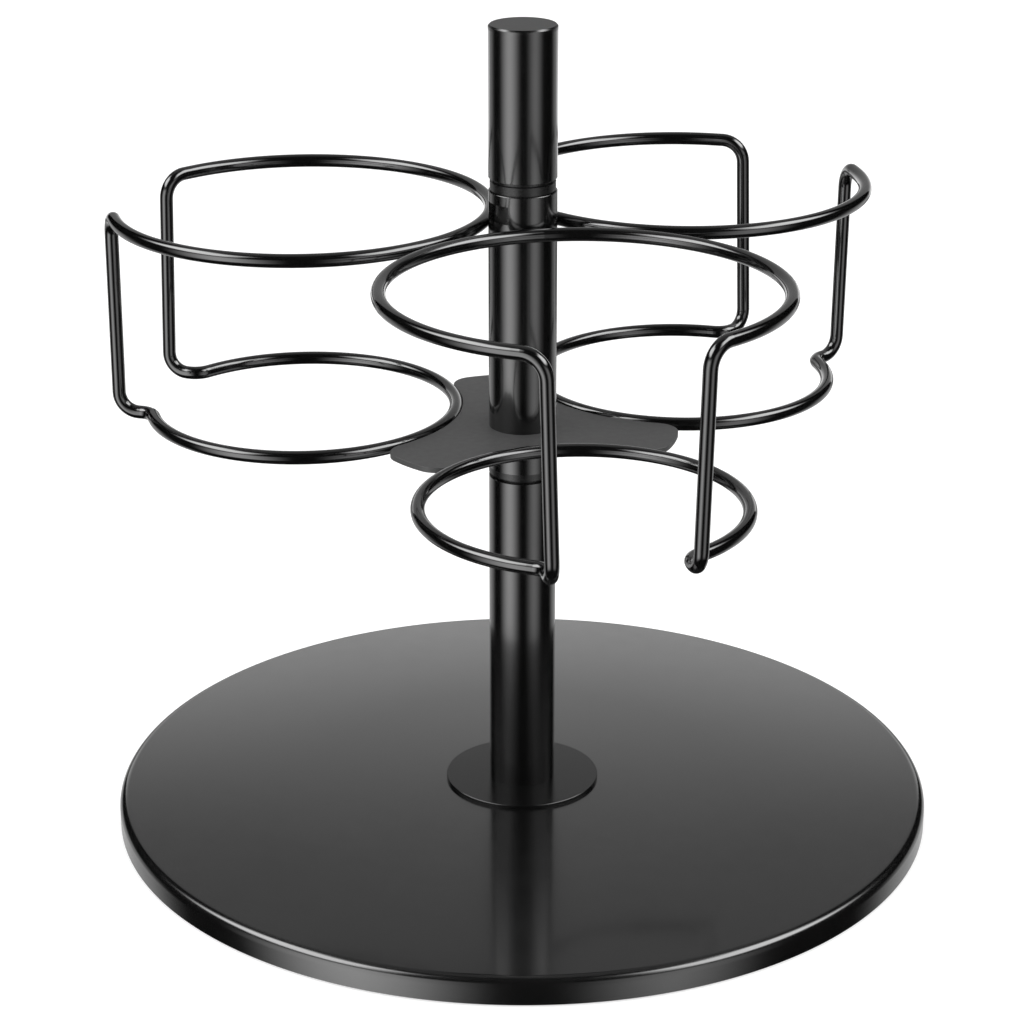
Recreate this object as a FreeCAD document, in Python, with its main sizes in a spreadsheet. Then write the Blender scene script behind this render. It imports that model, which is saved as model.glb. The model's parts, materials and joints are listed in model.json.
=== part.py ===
import FreeCAD, Part
import math
import os
import Sketcher

# Airbrush holder stand: a round weighted base, a post in three lengths, and a
# carousel of three wire cages that turns on a spindle inside the middle length.
# Frame: +Z up, origin on the floor under the post's axis, one cage towards -Y.

DIMENSIONS = {
    # base
    "padRadius": 112.0,
    "padThick": 1.2,
    "padHole": 12.0,
    "rimLift": 0.4,
    "baseRadius": 118.0,
    "baseTop": 7.9,
    "sheet": 1.2,
    "edgeRound": 2.7,
    "innerRound": 1.5,
    "ballastRadius": 115.5,
    "ballastBreak": 1.5,
    "screwHead": 8.0,
    "screwHeadTall": 4.0,
    "screwShank": 3.95,
    "screwHole": 4.25,
    "screwLength": 20.0,
    "socketFlat": 2.5,
    "socketDeep": 2.6,
    "slack": 0.2,
    "flangeRadius": 22.2,
    "flangeThick": 1.0,
    # post
    "postRadius": 9.5,
    "postWall": 1.5,
    "lowerTop": 103.2,
    "sleeveFoot": 106.0,
    "sleeveTop": 186.0,
    "topFoot": 189.6,
    "standTop": 231.6,
    "capThick": 1.2,
    "capSpigot": 6.0,
    "capBreak": 0.45,
    "footPlugTall": 18.0,
    "headPlugTall": 15.0,
    "threadRadius": 3.0,
    "footThread": 4.0,
    # spindle, bushes and washers
    "spindleRadius": 4.0,
    "spindleEnd": 2.95,
    "spindleReach": 12.0,
    "bushBore": 4.05,
    "bushSpigot": 8.0,
    "bushSpigotTall": 9.0,
    "lowerBushFlange": 9.5,
    "upperBushFlange": 9.1,
    "bushNeck": 8.7,
    "bushNeckTall": 0.35,
    "washerRadius": 8.4,
    "washerBore": 4.3,
    "washerThick": 0.95,
    "endFloat": 0.05,
    "edgeBreak": 0.12,
    "plateBreak": 0.1,
    # window in the sleeve
    "windowTurn": -67.0,
    "windowWide": 8.9,
    "windowTall": 5.0,
    "windowFoot": 178.2,
    # wire cages
    "wireRadius": 1.9,
    "upperRing": 52.7,
    "upperOut": 64.1,
    "upperHeight": 176.0,
    "lowerRing": 43.5,
    "lowerOut": 65.0,
    "lowerHeight": 117.3,
    "legTopOut": 113.5,
    "legTopSide": 20.3,
    "legFootOut": 114.4,
    "legFootSide": 18.7,
    "jogOut": 104.8,
    "jogSide": 18.2,
    "topBend": 6.5,
    "footBend": 5.6,
    "jogBend": 5.2,
    # carrier plate
    "plateRadius": 44.0,
    "plateThick": 1.5,
    "lobeRound": 6.5,
}

CAGE_COUNT = 3
ROUGH_OUT = 60.0
ROUGH_MIDDLE = 9.0
ROUGH_SIZE = 5.0
CAGE_TURNS = {"cage_front": -90.0, "cage_right": 30.0, "cage_left": 150.0}
CAGE_TWISTS = {"cage_front": -3.0, "cage_right": 0.0, "cage_left": 0.0}
UP = FreeCAD.Vector(0, 0, 1)

# The ROUGH values above only start a sketch, before its dimensions take hold.

doc = FreeCAD.newDocument("AirbrushHolderStand")
sheet = doc.addObject("Spreadsheet::Sheet", "Sizes")
for row, (alias, value) in enumerate(DIMENSIONS.items(), start=1):
    sheet.set("A%d" % row, alias)
    sheet.set("B%d" % row, str(value))
    sheet.setAlias("B%d" % row, alias)
doc.recompute()

pieces = []


def bound(text):
    """Turn 'postRadius - postWall' into an expression on the sheet's cells."""
    words = text.split()
    return " ".join("Sizes." + word if word in DIMENSIONS else word for word in words)


def size(alias):
    return float(sheet.get(alias))


def new_body(label, lift, turn=None):
    """Start a body at a height, turned about the post's axis by an angle."""
    body = doc.addObject("PartDesign::Body", label)
    body.Label = label
    body.setExpression("Placement.Base.z", bound(lift))
    if turn is not None:
        body.setExpression("Placement.Rotation.Angle", bound(turn))
    pieces.append(body)
    return body


def new_sketch(body, role, name):
    plane = next(item for item in body.Origin.OriginFeatures if item.Role == role)
    sketch = body.newObject("Sketcher::SketchObject", body.Name + "_" + name)
    sketch.AttachmentSupport = (plane, "")
    sketch.MapMode = "FlatFace"
    return sketch


def hold(sketch, constraint, text):
    """Add a dimension to a sketch and bind it to the sheet."""
    index = sketch.addConstraint(constraint)
    sketch.setExpression("Constraints[%d]" % index, bound(text))


def add_circle(sketch, radius, out=None):
    """A circle about the origin, or with its centre out along the sketch's X."""
    centre = FreeCAD.Vector(0 if out is None else ROUGH_OUT, 0, 0)
    circle = sketch.addGeometry(Part.Circle(centre, UP, ROUGH_SIZE))
    if out is None:
        sketch.addConstraint(Sketcher.Constraint("Coincident", circle, 3, -1, 1))
    else:
        sketch.addConstraint(Sketcher.Constraint("PointOnObject", circle, 3, -1))
        hold(sketch, Sketcher.Constraint("DistanceX", -1, 1, circle, 3, ROUGH_OUT), out)
    hold(sketch, Sketcher.Constraint("Radius", circle, ROUGH_SIZE), radius)


def place_point(sketch, line, across, along):
    """Hold a line's first point at a distance from each of the sketch's axes."""
    if across == "0":
        sketch.addConstraint(Sketcher.Constraint("PointOnObject", line, 1, -2))
    else:
        hold(sketch, Sketcher.Constraint("DistanceX", -1, 1, line, 1, 1.0), across)
    if along == "0":
        sketch.addConstraint(Sketcher.Constraint("PointOnObject", line, 1, -1))
    else:
        hold(sketch, Sketcher.Constraint("DistanceY", -1, 1, line, 1, 1.0), along)


def add_outline(sketch, corners):
    """A closed outline of straight lines, each corner given as two sizes."""
    count = len(corners)
    rough = []
    for i in range(count):
        angle = 2 * math.pi * i / count
        across = ROUGH_MIDDLE + ROUGH_SIZE * math.cos(angle)
        along = ROUGH_MIDDLE + ROUGH_SIZE * math.sin(angle)
        rough.append(FreeCAD.Vector(across, along, 0))
    for i in range(count):
        sketch.addGeometry(Part.LineSegment(rough[i], rough[(i + 1) % count]))
    for i in range(count):
        sketch.addConstraint(Sketcher.Constraint("Coincident", i, 2, (i + 1) % count, 1))
    for i, (across, along) in enumerate(corners):
        place_point(sketch, i, across, along)


def pad(body, sketch, length):
    feature = body.newObject("PartDesign::Pad", body.Name + "_pad")
    feature.Profile = sketch
    feature.setExpression("Length", bound(length))
    sketch.Visibility = False
    return feature


def ring(label, lift, outer, inner, tall, turn=None):
    """A flat ring or a tube, padded from two circles."""
    body = new_body(label, lift, turn)
    sketch = new_sketch(body, "XY_Plane", "ring")
    add_circle(sketch, outer)
    add_circle(sketch, inner)
    pad(body, sketch, tall)
    return body


def turned(label, lift, corners):
    """A turned piece: an outline of radius and height, revolved about Z."""
    body = new_body(label, lift)
    sketch = new_sketch(body, "XZ_Plane", "outline")
    add_outline(sketch, corners)
    feature = body.newObject("PartDesign::Revolution", label + "_turned")
    feature.Profile = sketch
    feature.ReferenceAxis = (sketch, ["V_Axis"])
    feature.Angle = 360.0
    return body


def circular_edges(body, radius, height):
    """The names of a body's circular edges of a radius at a height above its own plane."""
    names = []
    for index, edge in enumerate(body.Tip.Shape.Edges, start=1):
        if not isinstance(edge.Curve, Part.Circle):
            continue
        middle = edge.Curve.Center.z
        if abs(edge.Curve.Radius - radius) < 1e-6 and abs(middle - height) < 1e-6:
            names.append("Edge%d" % index)
    return names


def dress(body, kind, name, edges, text):
    """A fillet or a chamfer on some edges of the body's last feature."""
    tip = body.Tip
    feature = body.newObject("PartDesign::" + kind, body.Name + "_" + name)
    feature.Base = (tip, edges)
    feature.setExpression("Radius" if kind == "Fillet" else "Size", bound(text))


def make_base():
    ring("anti_slip_pad", "0", "padRadius", "padHole", "padThick")

    cover = turned("base_cover", "rimLift", [
        ("screwHole", "baseTop - rimLift - sheet"),
        ("baseRadius - sheet", "baseTop - rimLift - sheet"),
        ("baseRadius - sheet", "0"),
        ("baseRadius", "0"),
        ("baseRadius", "baseTop - rimLift"),
        ("screwHole", "baseTop - rimLift"),
    ])
    doc.recompute()
    roof = size("baseTop") - size("rimLift")
    dress(cover, "Fillet", "edge", circular_edges(cover, size("baseRadius"), roof), "edgeRound")
    doc.recompute()
    inside = circular_edges(cover, size("baseRadius") - size("sheet"), roof - size("sheet"))
    dress(cover, "Fillet", "inside", inside, "innerRound")

    ballast = turned("ballast_plate", "padThick", [
        ("screwHead + slack", "0"),
        ("ballastRadius", "0"),
        ("ballastRadius", "baseTop - sheet - padThick"),
        ("screwHole", "baseTop - sheet - padThick"),
        ("screwHole", "screwHeadTall"),
    ])
    doc.recompute()
    top = size("baseTop") - size("sheet") - size("padThick")
    dress(ballast, "Chamfer", "break", circular_edges(ballast, size("ballastRadius"), top), "ballastBreak")

    flange = ring("post_flange", "baseTop", "flangeRadius", "screwHole", "flangeThick")
    doc.recompute()
    rim = circular_edges(flange, size("flangeRadius"), size("flangeThick"))
    dress(flange, "Chamfer", "break", rim, "plateBreak")


def make_base_screw():
    """A countersunk screw, head down, with a hexagon socket in its head."""
    screw = turned("base_screw", "padThick", [
        ("0", "0"),
        ("screwHead", "0"),
        ("screwShank", "screwHeadTall"),
        ("screwShank", "screwLength"),
        ("0", "screwLength"),
    ])
    doc.recompute()
    whole = screw.Shape.Volume
    corner = "socketFlat / cos(30deg)"
    flat = "socketFlat"
    sketch = new_sketch(screw, "XY_Plane", "socket")
    add_outline(sketch, [
        (corner, "0"),
        (corner + " / 2", flat),
        ("-1 * " + corner + " / 2", flat),
        ("-1 * " + corner, "0"),
        ("-1 * " + corner + " / 2", "-1 * " + flat),
        (corner + " / 2", "-1 * " + flat),
    ])
    socket = screw.newObject("PartDesign::Pocket", "base_screw_socket")
    socket.Profile = sketch
    socket.Reversed = True
    socket.setExpression("Length", bound("socketDeep"))
    doc.recompute()
    removed = whole - screw.Shape.Volume
    expected = 2 * math.sqrt(3) * size("socketFlat") ** 2 * size("socketDeep")
    if abs(removed - expected) > 0.01 * expected:
        raise RuntimeError("the screw's socket removed %.1f mm3" % removed)


def make_post():
    foot = "baseTop + flangeThick"
    inner = "postRadius - postWall"
    lower = ring("lower_post", foot, "postRadius", inner, "lowerTop - baseTop - flangeThick")
    ring("foot_plug", foot, inner, "footThread", "footPlugTall")
    ring("head_plug", "lowerTop - headPlugTall", inner, "threadRadius", "headPlugTall")
    upper = ring("top_post", "topFoot", "postRadius", inner, "standTop - capThick - topFoot")
    ring("top_post_plug", "topFoot", inner, "threadRadius", "headPlugTall")

    cap = turned("end_cap", "standTop - capThick - capSpigot", [
        ("0", "0"),
        (inner, "0"),
        (inner, "capSpigot"),
        ("postRadius", "capSpigot"),
        ("postRadius", "capSpigot + capThick"),
        ("0", "capSpigot + capThick"),
    ])
    doc.recompute()
    rim = circular_edges(cap, size("postRadius"), size("capSpigot") + size("capThick"))
    dress(cap, "Chamfer", "break", rim, "capBreak")
    lower_tall = size("lowerTop") - size("baseTop") - size("flangeThick")
    dress(lower, "Chamfer", "break", circular_edges(lower, size("postRadius"), lower_tall), "edgeBreak")
    dress(upper, "Chamfer", "break", circular_edges(upper, size("postRadius"), 0.0), "edgeBreak")


def make_spindle():
    turned("spindle", "lowerTop - spindleReach", [
        ("0", "0"),
        ("spindleEnd", "0"),
        ("spindleEnd", "spindleReach"),
        ("spindleRadius", "spindleReach"),
        ("spindleRadius", "spindleReach + topFoot - lowerTop"),
        ("spindleEnd", "spindleReach + topFoot - lowerTop"),
        ("spindleEnd", "spindleReach + topFoot - lowerTop + spindleReach"),
        ("0", "spindleReach + topFoot - lowerTop + spindleReach"),
    ])
    ring("lower_thrust_washer", "lowerTop", "washerRadius", "washerBore", "washerThick")
    ring("upper_thrust_washer", "topFoot - washerThick", "washerRadius", "washerBore", "washerThick")


def make_bushes():
    lower_foot = "lowerTop + washerThick + endFloat"
    flange_tall = "sleeveFoot - lowerTop - washerThick - endFloat"
    turned("lower_bush", lower_foot, [
        ("bushBore", "0"),
        ("lowerBushFlange", "0"),
        ("lowerBushFlange", flange_tall),
        ("bushSpigot", flange_tall),
        ("bushSpigot", flange_tall + " + bushSpigotTall"),
        ("bushBore", flange_tall + " + bushSpigotTall"),
    ])
    bush_top = "bushSpigotTall + topFoot - washerThick - endFloat - sleeveTop"
    turned("upper_bush", "sleeveTop - bushSpigotTall", [
        ("bushBore", "0"),
        ("bushSpigot", "0"),
        ("bushSpigot", "bushSpigotTall"),
        ("bushNeck", "bushSpigotTall"),
        ("bushNeck", "bushSpigotTall + bushNeckTall"),
        ("upperBushFlange", "bushSpigotTall + bushNeckTall"),
        ("upperBushFlange", bush_top),
        ("bushBore", bush_top),
    ])


def make_sleeve():
    inner = "postRadius - postWall"
    length = "sleeveTop - sleeveFoot"
    sleeve = ring("carousel_sleeve", "sleeveFoot", "postRadius", inner, length, "windowTurn")
    doc.recompute()
    whole = sleeve.Shape.Volume

    sketch = new_sketch(sleeve, "XZ_Plane", "window")
    wide = size("windowWide")
    tall = size("windowTall")
    lift = size("windowFoot") - size("sleeveFoot")
    add_rectangle(sketch, FreeCAD.Vector(-wide / 2, lift, 0), FreeCAD.Vector(wide / 2, lift + tall, 0))
    hold(sketch, Sketcher.Constraint("DistanceX", 0, 1, 0, 2, wide), "windowWide")
    hold(sketch, Sketcher.Constraint("DistanceY", 1, 1, 1, 2, tall), "windowTall")
    hold(sketch, Sketcher.Constraint("DistanceX", -1, 1, 0, 2, wide / 2), "windowWide / 2")
    hold(sketch, Sketcher.Constraint("DistanceY", -1, 1, 0, 2, lift), "windowFoot - sleeveFoot")
    window = sleeve.newObject("PartDesign::Pocket", "carousel_sleeve_window")
    window.Profile = sketch
    window.Reversed = True
    window.setExpression("Length", bound("postRadius * 2"))
    doc.recompute()
    removed = whole - sleeve.Shape.Volume
    expected = wide * tall * size("postWall")
    if not expected < removed < 1.5 * expected:
        raise RuntimeError("the sleeve's window removed %.1f mm3" % removed)

    head = circular_edges(sleeve, size("postRadius"), size("sleeveTop") - size("sleeveFoot"))
    dress(sleeve, "Chamfer", "break", head, "edgeBreak")


def add_rectangle(sketch, corner, opposite):
    """A rectangle whose lines are 0 foot, 1 right, 2 head and 3 left."""
    points = [
        corner,
        FreeCAD.Vector(opposite.x, corner.y, 0),
        opposite,
        FreeCAD.Vector(corner.x, opposite.y, 0),
    ]
    for i in range(4):
        sketch.addGeometry(Part.LineSegment(points[i], points[(i + 1) % 4]))
    for i in range(4):
        sketch.addConstraint(Sketcher.Constraint("Coincident", i, 2, (i + 1) % 4, 1))
        sketch.addConstraint(Sketcher.Constraint("Horizontal" if i % 2 == 0 else "Vertical", i))


def make_carrier_plate():
    """A disc with a bite cut for each lower ring, which leaves three lobes."""
    plate = new_body("carrier_plate", "lowerHeight - plateThick / 2", str(CAGE_TURNS["cage_front"]))
    sketch = new_sketch(plate, "XY_Plane", "disc")
    add_circle(sketch, "plateRadius")
    add_circle(sketch, "postRadius")
    pad(plate, sketch, "plateThick")
    doc.recompute()

    bite = new_sketch(plate, "XY_Plane", "bite")
    add_circle(bite, "lowerRing + wireRadius", "lowerOut")
    cut = plate.newObject("PartDesign::Pocket", "carrier_plate_bite")
    cut.Profile = bite
    cut.Reversed = True
    cut.setExpression("Length", bound("plateThick"))
    doc.recompute()

    pattern = plate.newObject("PartDesign::PolarPattern", "carrier_plate_bites")
    pattern.Originals = [cut]
    pattern.Axis = (bite, ["N_Axis"])
    pattern.Angle = 360.0
    pattern.Occurrences = CAGE_COUNT
    plate.Tip = pattern
    doc.recompute()

    corners = []
    for index, edge in enumerate(plate.Tip.Shape.Edges, start=1):
        upright = abs(edge.Vertexes[0].Z - edge.Vertexes[-1].Z) > size("plateThick") / 2
        foot = edge.Vertexes[0].Point
        if upright and math.hypot(foot.x, foot.y) > size("plateRadius") - 1:
            corners.append("Edge%d" % index)
    if len(corners) != 2 * CAGE_COUNT:
        raise RuntimeError("the carrier plate has %d corners" % len(corners))
    dress(plate, "Fillet", "lobes", corners, "lobeRound")
    doc.recompute()

    rim = []
    for index, edge in enumerate(plate.Tip.Shape.Edges, start=1):
        level = all(abs(vertex.Z - size("plateThick")) < 1e-6 for vertex in edge.Vertexes)
        start = edge.Vertexes[0].Point
        if level and math.hypot(start.x, start.y) > size("postRadius") + 1:
            rim.append("Edge%d" % index)
    dress(plate, "Chamfer", "break", rim, "plateBreak")


def ring_point(out, radius, degrees, height):
    """A point on a cage ring, counted from the outward direction, X being outward."""
    angle = math.radians(degrees)
    return FreeCAD.Vector(out + radius * math.cos(angle), radius * math.sin(angle), height)


def ring_arc(out, radius, first, last, height):
    middle = (first + last) / 2
    points = [ring_point(out, radius, degrees, height) for degrees in (first, middle, last)]
    return Part.Arc(*points)


def bend(before, corner, after, radius):
    """The arc that rounds a corner of the wire."""
    back = (before - corner).normalize()
    ahead = (after - corner).normalize()
    half = back.getAngle(ahead) / 2
    inward = (back + ahead).normalize()
    reach = radius / math.tan(half)
    middle = corner + inward * (radius / math.sin(half) - radius)
    return Part.Arc(corner + back * reach, middle, corner + ahead * reach)


def leaving_angle(out, radius, corner):
    """Where on a ring the wire leaves it to run straight to a corner."""
    across = corner.x - out
    reach = math.hypot(across, corner.y)
    return math.degrees(math.atan2(corner.y, across) + math.acos(radius / reach))


def half_path():
    """Half of a cage's wire: upper ring, leg, jog and lower ring, ending at the inner side."""
    leg_top = FreeCAD.Vector(size("legTopOut"), size("legTopSide"), size("upperHeight"))
    leg_foot = FreeCAD.Vector(size("legFootOut"), size("legFootSide"), size("lowerHeight"))
    jog = FreeCAD.Vector(size("jogOut"), size("jogSide"), size("lowerHeight"))
    upper_open = leaving_angle(size("upperOut"), size("upperRing"), leg_top)
    lower_open = leaving_angle(size("lowerOut"), size("lowerRing"), jog)
    upper_end = ring_point(size("upperOut"), size("upperRing"), upper_open, size("upperHeight"))
    lower_end = ring_point(size("lowerOut"), size("lowerRing"), lower_open, size("lowerHeight"))

    curves = [
        ring_arc(size("upperOut"), size("upperRing"), 180.0, upper_open, size("upperHeight")),
        bend(upper_end, leg_top, leg_foot, size("topBend")),
        bend(leg_top, leg_foot, jog, size("footBend")),
        bend(leg_foot, jog, lower_end, size("jogBend")),
        ring_arc(size("lowerOut"), size("lowerRing"), lower_open, 180.0, size("lowerHeight")),
    ]
    edges = [curves[0].toShape()]
    for curve in curves[1:]:
        gap_start = edges[-1].valueAt(edges[-1].LastParameter)
        arc_edge = curve.toShape()
        gap_end = arc_edge.valueAt(arc_edge.FirstParameter)
        edges.append(Part.LineSegment(gap_start, gap_end).toShape())
        edges.append(arc_edge)
    return Part.Wire(edges)


def make_cages():
    path = doc.addObject("Part::Feature", "cage_path")
    path.Shape = half_path()

    section = doc.addObject("Part::Circle", "cage_section")
    section.setExpression("Radius", bound("wireRadius"))
    start = ring_point(size("upperOut"), size("upperRing"), 180.0, size("upperHeight"))
    section.Placement = FreeCAD.Placement(start, FreeCAD.Rotation(FreeCAD.Vector(1, 0, 0), 90))

    half = doc.addObject("Part::Sweep", "cage_half")
    half.Sections = [section]
    half.Spine = (path, ["Edge%d" % (i + 1) for i in range(len(path.Shape.Edges))])
    half.Solid = True
    half.Frenet = False

    other = doc.addObject("Part::Mirroring", "cage_other_half")
    other.Source = half
    other.Base = FreeCAD.Vector(0, 0, 0)
    other.Normal = FreeCAD.Vector(0, 1, 0)

    middle = FreeCAD.Vector(size("upperOut"), 0, 0)
    for label, turn in CAGE_TURNS.items():
        cage = doc.addObject("Part::Fuse", label)
        cage.Label = label
        cage.Base = half
        cage.Tool = other
        round_post = FreeCAD.Placement(FreeCAD.Vector(), FreeCAD.Rotation(UP, turn))
        round_ring = FreeCAD.Placement(FreeCAD.Vector(), FreeCAD.Rotation(UP, CAGE_TWISTS[label]), middle)
        cage.Placement = round_post * round_ring
        pieces.append(cage)
    doc.recompute()


def check_and_write():
    doc.recompute()
    for item in doc.Objects:
        if "Invalid" in item.State or "Error" in item.State:
            raise RuntimeError("%s: %s" % (item.Name, item.State))
    os.makedirs("parts", exist_ok=True)
    for piece in pieces:
        shape = piece.Shape
        if shape.isNull() or not shape.isValid() or len(shape.Solids) != 1:
            raise RuntimeError("%s is not one valid solid" % piece.Label)
        shape.exportStep("parts/%s.step" % piece.Label)
        box = shape.BoundBox
        print("%-20s %9.1f mm3  z %.2f to %.2f" % (piece.Label, shape.Volume, box.ZMin, box.ZMax))


make_base()
make_base_screw()
make_post()
make_spindle()
make_bushes()
make_sleeve()
make_carrier_plate()
make_cages()
check_and_write()
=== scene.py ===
import json
import math

import bmesh
import bpy
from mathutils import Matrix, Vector


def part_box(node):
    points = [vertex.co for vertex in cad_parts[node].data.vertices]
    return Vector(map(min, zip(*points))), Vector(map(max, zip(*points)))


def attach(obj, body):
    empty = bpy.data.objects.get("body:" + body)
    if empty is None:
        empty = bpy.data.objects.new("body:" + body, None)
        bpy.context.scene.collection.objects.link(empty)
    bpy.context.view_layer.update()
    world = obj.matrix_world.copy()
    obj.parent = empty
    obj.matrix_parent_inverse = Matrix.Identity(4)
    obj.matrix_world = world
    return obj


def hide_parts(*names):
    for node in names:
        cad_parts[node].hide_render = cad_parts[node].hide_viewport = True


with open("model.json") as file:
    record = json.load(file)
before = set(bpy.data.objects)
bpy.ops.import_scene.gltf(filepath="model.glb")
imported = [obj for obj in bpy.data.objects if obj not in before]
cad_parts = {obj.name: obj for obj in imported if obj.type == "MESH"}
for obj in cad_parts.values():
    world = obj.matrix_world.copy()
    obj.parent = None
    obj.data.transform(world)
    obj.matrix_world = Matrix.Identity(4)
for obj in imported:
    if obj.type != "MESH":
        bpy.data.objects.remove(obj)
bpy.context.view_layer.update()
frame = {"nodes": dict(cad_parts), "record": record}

# Airbrush holder stand in gloss black: a weighted round base, a post, and a
# carousel of three wire cages. Metres, +Z up, the front cage towards -Y.

MM = 0.001
nodes = frame["nodes"]

# ---------------------------------------------------------------- materials

GLOSS_ROUGHNESS = 0.2
SATIN_ROUGHNESS = 0.5
WIRE_ROUGHNESS = 0.12
CAPPED_IOR = 1.8


class Surface:
    """A Principled material and short ways to add nodes to it."""

    def __init__(self, name, colour, roughness, metallic=0.0, coat=0.0, coat_roughness=0.03):
        self.material = bpy.data.materials.new(name)
        self.material.use_nodes = True
        self.tree = self.material.node_tree
        self.shader = self.tree.nodes["Principled BSDF"]
        self.shader.inputs["Base Color"].default_value = (*colour, 1.0)
        self.shader.inputs["Roughness"].default_value = roughness
        self.shader.inputs["Metallic"].default_value = metallic
        self.shader.inputs["Coat Weight"].default_value = coat
        self.shader.inputs["Coat Roughness"].default_value = coat_roughness
        self.coords = self.tree.nodes.new("ShaderNodeTexCoord").outputs["Object"]

    def node(self, kind, **values):
        made = self.tree.nodes.new(kind)
        for name, value in values.items():
            setattr(made, name, value)
        return made

    def link(self, output, target):
        self.tree.links.new(output, target)

    def stretched(self, scale):
        """The object's coordinates, scaled along each axis."""
        mapping = self.node("ShaderNodeMapping")
        mapping.inputs["Scale"].default_value = scale
        self.link(self.coords, mapping.inputs["Vector"])
        return mapping.outputs["Vector"]

    def noise(self, size, detail=2.0, vector=None):
        """Noise whose features are about size metres across."""
        texture = self.node("ShaderNodeTexNoise")
        texture.inputs["Scale"].default_value = 1.0 / size
        texture.inputs["Detail"].default_value = detail
        self.link(vector or self.coords, texture.inputs["Vector"])
        return texture.outputs["Fac"]

    def spread(self, value, low, high, start=0.3, end=0.7):
        """Map a 0 to 1 value onto low to high."""
        ramp = self.node("ShaderNodeMapRange")
        ramp.inputs["From Min"].default_value = start
        ramp.inputs["From Max"].default_value = end
        ramp.inputs["To Min"].default_value = low
        ramp.inputs["To Max"].default_value = high
        self.link(value, ramp.inputs["Value"])
        return ramp.outputs["Result"]

    def tint(self, value, dark, light):
        """Vary the base colour between two greys or colours."""
        mix = self.node("ShaderNodeMix", data_type="RGBA")
        mix.inputs["A"].default_value = (*dark, 1.0)
        mix.inputs["B"].default_value = (*light, 1.0)
        self.link(value, mix.inputs["Factor"])
        self.link(mix.outputs["Result"], self.shader.inputs["Base Color"])

    def vary_roughness(self, value, low, high):
        self.link(self.spread(value, low, high), self.shader.inputs["Roughness"])

    def emit(self, strength):
        """Give off light of a strength instead of scattering any."""
        emission = self.node("ShaderNodeEmission")
        self.link(strength, emission.inputs["Strength"])
        self.link(emission.outputs["Emission"], self.tree.nodes["Material Output"].inputs["Surface"])
        self.tree.nodes.remove(self.shader)

    def bump(self, height, depth):
        """A bump of a depth in metres."""
        bump = self.node("ShaderNodeBump")
        bump.inputs["Strength"].default_value = 1.0
        bump.inputs["Distance"].default_value = depth
        self.link(height, bump.inputs["Height"])
        self.link(bump.outputs["Normal"], self.shader.inputs["Normal"])


def grey(value):
    return (value, value, value)


def gloss_paint(name, shade, roughness, peel, depth):
    """Baked gloss enamel: a faint orange peel under a clear, smoother skin."""
    colour = grey(shade)
    paint = Surface(name, colour, roughness, coat=1.0, coat_roughness=0.5 * roughness)
    broad = paint.noise(30 * MM, 3.0)
    paint.tint(paint.spread(broad, 0.0, 1.0), colour, grey(1.35 * shade))
    paint.vary_roughness(paint.noise(6 * MM, 3.0), 0.9 * roughness, 1.15 * roughness)
    paint.bump(paint.noise(peel, 1.0), depth)
    return paint.material


def satin_paint(name, shade, roughness):
    """Flat parts in a satin powder coat with a fine grain."""
    paint = Surface(name, grey(shade), roughness)
    paint.tint(paint.noise(12 * MM, 3.0), grey(shade), grey(1.12 * shade))
    paint.vary_roughness(paint.noise(2 * MM, 2.0), 0.95 * roughness, 1.1 * roughness)
    paint.bump(paint.noise(0.35 * MM, 1.0), 0.006 * MM)
    return paint.material


def capped_paint(name, gloss, satin):
    """Gloss enamel whose upward faces are left satin, as on the post's end cap."""
    paint = Surface(name, grey(gloss), GLOSS_ROUGHNESS)
    paint.shader.inputs["IOR"].default_value = CAPPED_IOR
    axes = paint.node("ShaderNodeSeparateXYZ")
    paint.link(paint.coords.node.outputs["Normal"], axes.inputs["Vector"])
    upward = paint.spread(axes.outputs["Z"], 0.0, 1.0, 0.85, 0.98)
    paint.tint(upward, grey(gloss), grey(satin))
    roughness = paint.spread(upward, GLOSS_ROUGHNESS, SATIN_ROUGHNESS, 0.0, 1.0)
    paint.link(roughness, paint.shader.inputs["Roughness"])
    paint.bump(paint.noise(0.35 * MM, 1.0), 0.003 * MM)
    return paint.material


def turned_nylon():
    """Black nylon with the fine rings that turning leaves."""
    nylon = Surface("black_nylon", grey(0.007), 0.28)
    rings = nylon.noise(0.25 * MM, 1.0, nylon.stretched((0.02, 0.02, 1.0)))
    nylon.tint(rings, grey(0.005), grey(0.010))
    nylon.vary_roughness(nylon.noise(2 * MM), 0.24, 0.32)
    nylon.bump(rings, 0.01 * MM)
    return nylon.material


def zinc_steel():
    """Zinc-plated turned steel, bright with a faint warm and blue cast."""
    steel = Surface("zinc_steel", (0.60, 0.61, 0.63), 0.3, metallic=1.0)
    steel.tint(steel.noise(5 * MM, 3.0), (0.52, 0.52, 0.50), (0.66, 0.68, 0.72))
    rings = steel.noise(0.2 * MM, 2.0, steel.stretched((0.03, 0.03, 1.0)))
    steel.vary_roughness(rings, 0.22, 0.38)
    steel.bump(rings, 0.01 * MM)
    return steel.material


def cast_iron():
    """The ballast disc: rough, dull iron."""
    iron = Surface("ballast_iron", grey(0.10), 0.75, metallic=0.6)
    iron.tint(iron.noise(4 * MM, 5.0), (0.06, 0.058, 0.055), (0.15, 0.14, 0.13))
    iron.vary_roughness(iron.noise(1.5 * MM, 4.0), 0.6, 0.85)
    iron.bump(iron.noise(0.8 * MM, 5.0), 0.12 * MM)
    return iron.material


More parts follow.
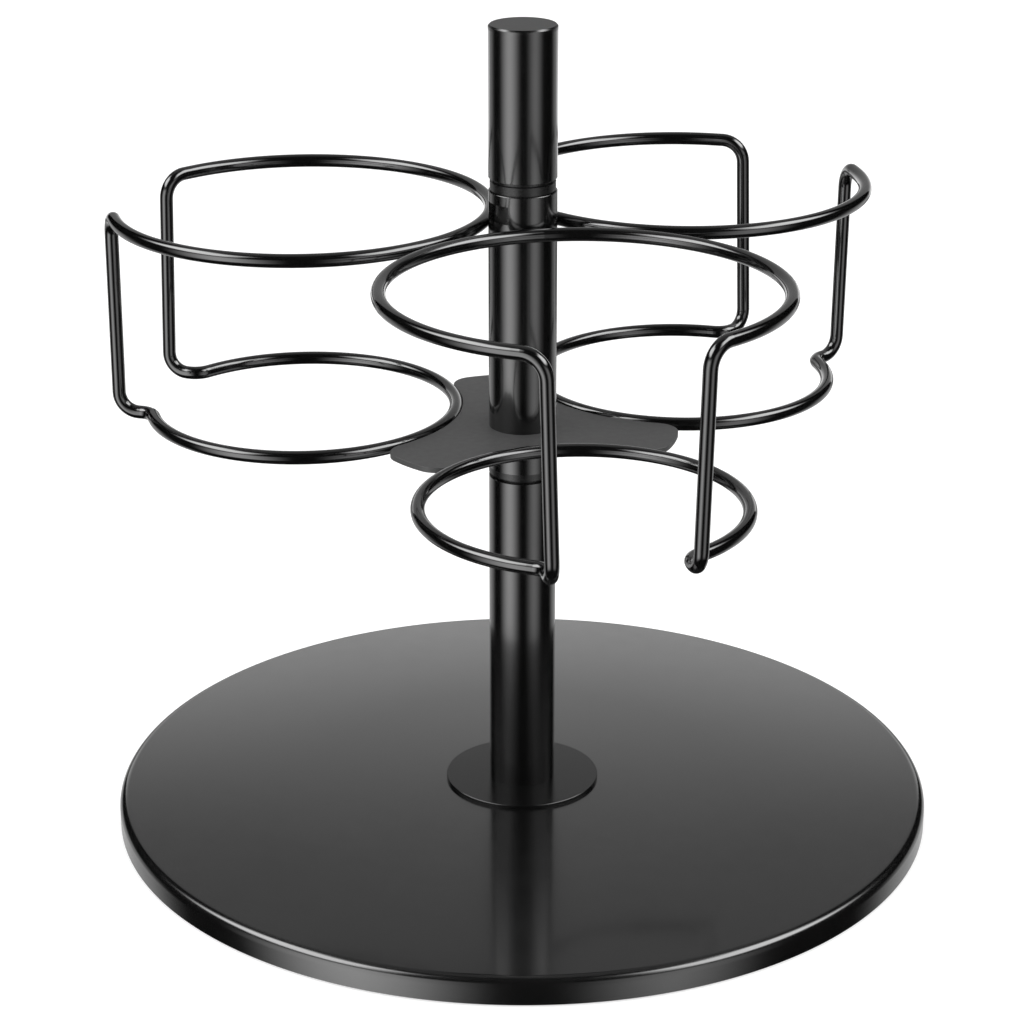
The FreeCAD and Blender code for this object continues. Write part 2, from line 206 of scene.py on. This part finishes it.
def pad_rubber():
    """The anti-slip pad: matt rubber with a fine pebbled face."""
    rubber = Surface("pad_rubber", grey(0.028), 0.85)
    rubber.tint(rubber.noise(9 * MM, 3.0), grey(0.02), grey(0.045))
    cells = rubber.node("ShaderNodeTexVoronoi", feature="SMOOTH_F1")
    cells.inputs["Scale"].default_value = 1.0 / (1.6 * MM)
    rubber.link(rubber.coords, cells.inputs["Vector"])
    rubber.vary_roughness(rubber.noise(3 * MM), 0.75, 0.95)
    rubber.bump(cells.outputs["Distance"], 0.15 * MM)
    return rubber.material


MATERIALS = {
    "gloss_black_base": gloss_paint("gloss_black_base", 0.0035, GLOSS_ROUGHNESS, 1.4 * MM, 0.002 * MM),
    "gloss_black_tube": gloss_paint("gloss_black_tube", 0.003, GLOSS_ROUGHNESS, 1.1 * MM, 0.0015 * MM),
    "gloss_black_wire": gloss_paint("gloss_black_wire", 0.003, WIRE_ROUGHNESS, 0.8 * MM, 0.0015 * MM),
    "satin_black_plate": satin_paint("satin_black_plate", 0.054, SATIN_ROUGHNESS),
    "satin_capped": capped_paint("satin_capped", 0.0035, 0.035),
    "semi_gloss_flange": satin_paint("semi_gloss_flange", 0.004, GLOSS_ROUGHNESS),
    "black_nylon": turned_nylon(),
    "zinc_steel": zinc_steel(),
    "ballast_iron": cast_iron(),
    "pad_rubber": pad_rubber(),
}


# Nodes whose finish is finer than their slot's.
FINISHES = {"post_flange": "semi_gloss_flange", "end_cap": "satin_capped"}


def dress_cad_nodes():
    """Give each CAD node its slot's material, or its own finer finish."""
    for row in frame["record"]["subparts"]:
        piece = nodes[row["node"]]
        piece.data.materials.clear()
        slot = FINISHES.get(row["node"], row["material_slot"])
        piece.data.materials.append(MATERIALS[slot])


dress_cad_nodes()

# ---------------------------------------------------------------- base cover

COVER_SHEET = 1.2 * MM
COVER_EDGE = 2.7 * MM
COVER_HOLE = 4.25 * MM
COVER_SIDES = 384
COVER_ARC_STEPS = 14
COVER_CREASE = 40.0


def quarter_turn(centre, radius, first_degrees, last_degrees):
    """Points of radius and height along an arc."""
    points = []
    for step in range(COVER_ARC_STEPS + 1):
        share = step / COVER_ARC_STEPS
        angle = math.radians(first_degrees + (last_degrees - first_degrees) * share)
        points.append((centre[0] + radius * math.cos(angle), centre[1] + radius * math.sin(angle)))
    return points


def make_base_cover():
    """The base's spun cover, turned finely so that its rounded edge mirrors cleanly."""
    low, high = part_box("base_cover")
    foot, top, rim = low[2], high[2], high[0]
    inside = COVER_EDGE - COVER_SHEET
    centre = (rim - COVER_EDGE, top - COVER_EDGE)
    outline = [(COVER_HOLE, top), (0.5 * rim, top)]
    outline += quarter_turn(centre, COVER_EDGE, 90.0, 0.0)
    outline += [(rim, foot), (rim - COVER_SHEET, foot)]
    outline += quarter_turn(centre, inside, 0.0, 90.0)
    outline += [(0.5 * rim, top - COVER_SHEET), (COVER_HOLE, top - COVER_SHEET)]

    shell = bmesh.new()
    rings = []
    for radius, height in outline:
        loop = []
        for side in range(COVER_SIDES):
            angle = 2.0 * math.pi * side / COVER_SIDES
            loop.append(shell.verts.new((radius * math.cos(angle), radius * math.sin(angle), height)))
        rings.append(loop)
    for first, second in zip(rings, rings[1:] + rings[:1]):
        for side in range(COVER_SIDES):
            after = (side + 1) % COVER_SIDES
            shell.faces.new((first[side], second[side], second[after], first[after]))
    bmesh.ops.recalc_face_normals(shell, faces=shell.faces)
    mesh = bpy.data.meshes.new("base_cover_turned")
    shell.to_mesh(mesh)
    shell.free()
    mesh.shade_smooth()
    mesh.set_sharp_from_angle(angle=math.radians(COVER_CREASE))
    mesh.materials.append(MATERIALS["gloss_black_base"])
    cover = bpy.data.objects.new("base_cover_turned", mesh)
    bpy.context.scene.collection.objects.link(cover)
    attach(cover, "stand")
    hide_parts("base_cover")


make_base_cover()

# ------------------------------------------------------------ floor and light

CAMERA_TURN = -14.1
CAMERA_PITCH = 21.37
CAMERA_DISTANCE = 0.8271
CAMERA_TARGET_HEIGHT = 0.0913
CAMERA_ASIDE = -0.00297
CAMERA_LENS = 101.95
SENSOR_WIDTH = 36.0


def camera_frame():
    """The camera's backward and rightward directions, level with the floor."""
    turn = math.radians(CAMERA_TURN)
    back = Vector((math.sin(turn), -math.cos(turn), 0.0))
    right = Vector((math.cos(turn), math.sin(turn), 0.0))
    return back, right


def add_camera():
    back, right = camera_frame()
    pitch = math.radians(CAMERA_PITCH)
    backward = back * math.cos(pitch) + Vector((0.0, 0.0, math.sin(pitch)))
    data = bpy.data.cameras.new("camera")
    data.lens = CAMERA_LENS
    data.sensor_width = SENSOR_WIDTH
    data.clip_start = 0.05
    data.clip_end = 50.0
    camera = bpy.data.objects.new("camera", data)
    target = Vector((0.0, 0.0, CAMERA_TARGET_HEIGHT)) + right * CAMERA_ASIDE
    camera.location = target + backward * CAMERA_DISTANCE
    camera.rotation_mode = "QUATERNION"
    camera.rotation_quaternion = (-backward).to_track_quat("-Z", "Y")
    bpy.context.scene.collection.objects.link(camera)
    bpy.context.scene.camera = camera


FLOOR_HALF = 6.0
FLOOR_SHADE = 0.5
FLOOR_GLOW = 0.6


def add_floor():
    """A plain pale floor, wide enough to meet the pale background."""
    half = FLOOR_HALF
    corners = [(-half, -half, 0), (half, -half, 0), (half, half, 0), (-half, half, 0)]
    mesh = bpy.data.meshes.new("floor")
    mesh.from_pydata(corners, [], [(0, 1, 2, 3)])
    floor = bpy.data.objects.new("floor", mesh)
    bpy.context.scene.collection.objects.link(floor)
    paper = Surface("floor_paper", grey(FLOOR_SHADE), 0.9)
    paper.tint(paper.noise(0.8, 2.0), grey(FLOOR_SHADE), grey(1.04 * FLOOR_SHADE))
    paper.shader.inputs["Emission Color"].default_value = (1.0, 1.0, 1.0, 1.0)
    paper.shader.inputs["Emission Strength"].default_value = FLOOR_GLOW
    mesh.materials.append(paper.material)
    floor.visible_glossy = False


CARD_DISTANCE = 0.4
CARD_HALF_WIDTH = 0.32
CARD_TALL = 1.0
CARD_BRIGHT_TO = 0.065
CARD_DIM_FROM = 0.258
CARD_BRIGHT = 1.1
CARD_DIM = 0.265
CARD_FOOT_TO = 0.055
CARD_FOOT_FROM = 0.1
CARD_FOOT = 0.12

# Soft panels round the studio that only the gloss paint mirrors. Each has an
# azimuth from the camera, its half width and edge, then the same in elevation,
# all in degrees, and a brightness.
PANELS = [
    (-45, 20.5, 41, -6, 29, 16, 2.8),
    (40.5, 16.5, 33, -6, 29, 16, 1.3),
    (-78, 33, 26, 47, 14, 11, 6.5),
    (78, 33, 26, 47, 14, 11, 6.5),
    (180, 63, 26, -25, 22, 12, 0.5),
    (180, 90, 30, 75, 25, 10, 0.2),
    (0, 180, 0, -78, 45, 20, 0.5),
]
DOME_RADIUS = 5.0


def only_in_reflections(stage_piece):
    stage_piece.visible_camera = False
    stage_piece.visible_diffuse = False
    stage_piece.visible_transmission = False
    stage_piece.visible_volume_scatter = False
    stage_piece.visible_shadow = False


def band(surface, value, centre, half, edge, wraps):
    """1 within half of centre, falling smoothly to 0 over edge, on a full turn if it wraps."""

    def math_node(operation, first, second=None):
        made = surface.node("ShaderNodeMath", operation=operation)
        for slot, item in enumerate((first, second)):
            if isinstance(item, (int, float)):
                made.inputs[slot].default_value = item
            elif item is not None:
                surface.link(item, made.inputs[slot])
        return made.outputs["Value"]

    offset = math_node("ABSOLUTE", math_node("SUBTRACT", value, centre))
    if wraps:
        other_way = math_node("ABSOLUTE", math_node("SUBTRACT", offset, 360.0))
        offset = math_node("MINIMUM", offset, other_way)
    fall = surface.node("ShaderNodeMapRange", interpolation_type="SMOOTHSTEP")
    fall.inputs["From Min"].default_value = half - edge / 2
    fall.inputs["From Max"].default_value = half + edge / 2
    fall.inputs["To Min"].default_value = 1.0
    fall.inputs["To Max"].default_value = 0.0
    surface.link(offset, fall.inputs["Value"])
    return fall.outputs["Result"]


def add_reflection_dome():
    """A dome of soft panels, seen only in reflections."""
    mesh = bpy.data.meshes.new("studio_panels")
    dome = bpy.data.objects.new("studio_panels", mesh)
    shell = bmesh.new()
    bmesh.ops.create_uvsphere(shell, u_segments=96, v_segments=48, radius=DOME_RADIUS)
    shell.to_mesh(mesh)
    shell.free()
    dome.rotation_euler = (0.0, 0.0, math.radians(CAMERA_TURN))
    bpy.context.scene.collection.objects.link(dome)

    glow = Surface("studio_panels", (0.0, 0.0, 0.0), 1.0)
    axes = glow.node("ShaderNodeSeparateXYZ")
    direction = glow.node("ShaderNodeVectorMath", operation="NORMALIZE")
    glow.link(glow.coords, direction.inputs[0])
    glow.link(direction.outputs["Vector"], axes.inputs["Vector"])

    def degrees(operation, *inputs):
        angle = glow.node("ShaderNodeMath", operation=operation)
        for slot, item in enumerate(inputs):
            glow.link(item, angle.inputs[slot])
        whole = glow.node("ShaderNodeMath", operation="MULTIPLY")
        whole.inputs[1].default_value = math.degrees(1.0)
        glow.link(angle.outputs["Value"], whole.inputs[0])
        return whole.outputs["Value"]

    forward = glow.node("ShaderNodeMath", operation="MULTIPLY")
    forward.inputs[1].default_value = -1.0
    glow.link(axes.outputs["Y"], forward.inputs[0])
    azimuth = degrees("ARCTAN2", axes.outputs["X"], forward.outputs["Value"])
    elevation = degrees("ARCSINE", axes.outputs["Z"])

    total = None
    for turn, half_turn, turn_edge, rise, half_rise, rise_edge, brightness in PANELS:
        across = band(glow, azimuth, turn, half_turn, turn_edge, True)
        upward = band(glow, elevation, rise, half_rise, rise_edge, False)
        patch = glow.node("ShaderNodeMath", operation="MULTIPLY")
        glow.link(across, patch.inputs[0])
        glow.link(upward, patch.inputs[1])
        lit = glow.node("ShaderNodeMath", operation="MULTIPLY_ADD")
        glow.link(patch.outputs["Value"], lit.inputs[0])
        lit.inputs[1].default_value = brightness
        lit.inputs[2].default_value = 0.0
        if total is not None:
            glow.link(total, lit.inputs[2])
        total = lit.outputs["Value"]

    glow.emit(total)
    mesh.materials.append(glow.material)
    only_in_reflections(dome)


def add_back_card():
    """A card behind the stand, bright low down, that the flat black top mirrors."""
    back, right = camera_frame()
    foot = -back * CARD_DISTANCE
    corners = [foot - right * CARD_HALF_WIDTH, foot + right * CARD_HALF_WIDTH]
    corners += [corner + Vector((0.0, 0.0, CARD_TALL)) for corner in reversed(corners)]
    mesh = bpy.data.meshes.new("back_card")
    mesh.from_pydata([tuple(corner) for corner in corners], [], [(0, 1, 2, 3)])
    card = bpy.data.objects.new("back_card", mesh)
    bpy.context.scene.collection.objects.link(card)

    glow = Surface("back_card", (0.0, 0.0, 0.0), 1.0)
    axes = glow.node("ShaderNodeSeparateXYZ")
    glow.link(glow.coords, axes.inputs["Vector"])
    height = glow.node("ShaderNodeMapRange", interpolation_type="SMOOTHSTEP")
    height.inputs["From Min"].default_value = CARD_BRIGHT_TO
    height.inputs["From Max"].default_value = CARD_DIM_FROM
    height.inputs["To Min"].default_value = CARD_BRIGHT
    height.inputs["To Max"].default_value = CARD_DIM
    glow.link(axes.outputs["Z"], height.inputs["Value"])
    foot_share = glow.spread(axes.outputs["Z"], CARD_FOOT, 1.0, CARD_FOOT_TO, CARD_FOOT_FROM)
    shaded = glow.node("ShaderNodeMath", operation="MULTIPLY")
    glow.link(height.outputs["Result"], shaded.inputs[0])
    glow.link(foot_share, shaded.inputs[1])
    glow.emit(shaded.outputs["Value"])
    mesh.materials.append(glow.material)
    only_in_reflections(card)


OVERHEAD_RISE = 80.0
OVERHEAD_DISTANCE = 1.6
OVERHEAD_SIZE = 1.6
OVERHEAD_WATTS = 9.0


def add_overhead_light():
    """A square soft light over the stand, leaning a little towards the camera."""
    middle = Vector((0.0, 0.0, 0.12))
    back, _ = camera_frame()
    rise = math.radians(OVERHEAD_RISE)
    outward = back * math.cos(rise) + Vector((0.0, 0.0, math.sin(rise)))
    data = bpy.data.lights.new("overhead", "AREA")
    data.shape = "SQUARE"
    data.size = OVERHEAD_SIZE
    data.energy = OVERHEAD_WATTS
    light = bpy.data.objects.new("overhead", data)
    light.location = middle + outward * OVERHEAD_DISTANCE
    light.rotation_mode = "QUATERNION"
    light.rotation_quaternion = (-outward).to_track_quat("-Z", "Y")
    light.visible_glossy = False
    bpy.context.scene.collection.objects.link(light)


def add_world():
    world = bpy.data.worlds.new("pale_studio")
    world.use_nodes = True
    background = world.node_tree.nodes["Background"]
    background.inputs["Color"].default_value = (1.0, 1.0, 1.0, 1.0)
    background.inputs["Strength"].default_value = 1.0
    bpy.context.scene.world = world


add_camera()
add_floor()
add_reflection_dome()
add_back_card()
add_world()
add_overhead_light()
bpy.context.scene.view_settings.view_transform = "Standard"
